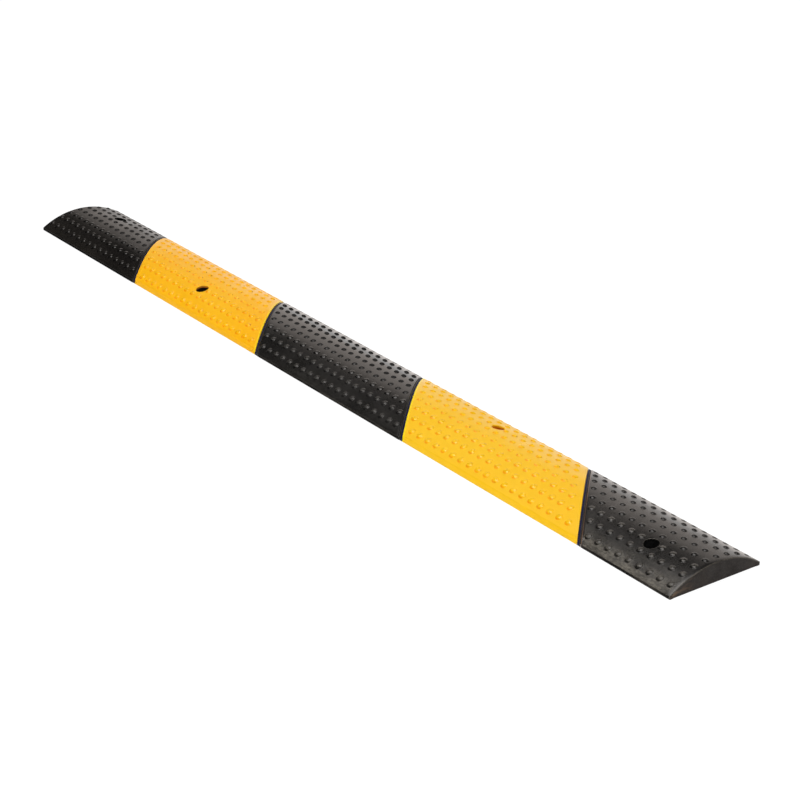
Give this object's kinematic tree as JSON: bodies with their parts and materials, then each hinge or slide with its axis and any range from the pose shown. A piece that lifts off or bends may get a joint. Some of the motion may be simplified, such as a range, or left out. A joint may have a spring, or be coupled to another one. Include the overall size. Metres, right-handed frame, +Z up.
{
  "type": "speed bump",
  "caption": "Low domed rubber speed bump, studded treads in black and yellow diagonal sections on a black core, with counterbored bolt holes.",
  "frame": {"origin": "middle of the underside, on the road", "axes": "+X along the bump, +Y the way traffic drives over it, +Z up from the road"},
  "size_m": [1, 0.1, 0.0191],
  "materials": {
    "core_rubber": "matte moulded",
    "black_rubber": "satin moulded",
    "yellow_rubber": "satin moulded",
    "strip_rubber": "matte moulded"
  },
  "bodies": {
    "root": {"rubber_core": "core_rubber", "black_tread_far": "black_rubber", "yellow_tread_far": "yellow_rubber", "black_tread_middle": "black_rubber", "yellow_tread_near": "yellow_rubber", "black_tread_near": "black_rubber", "joint_strip_1": "strip_rubber", "joint_strip_2": "strip_rubber", "joint_strip_3": "strip_rubber", "joint_strip_4": "strip_rubber"}
  },
  "joints": []
}
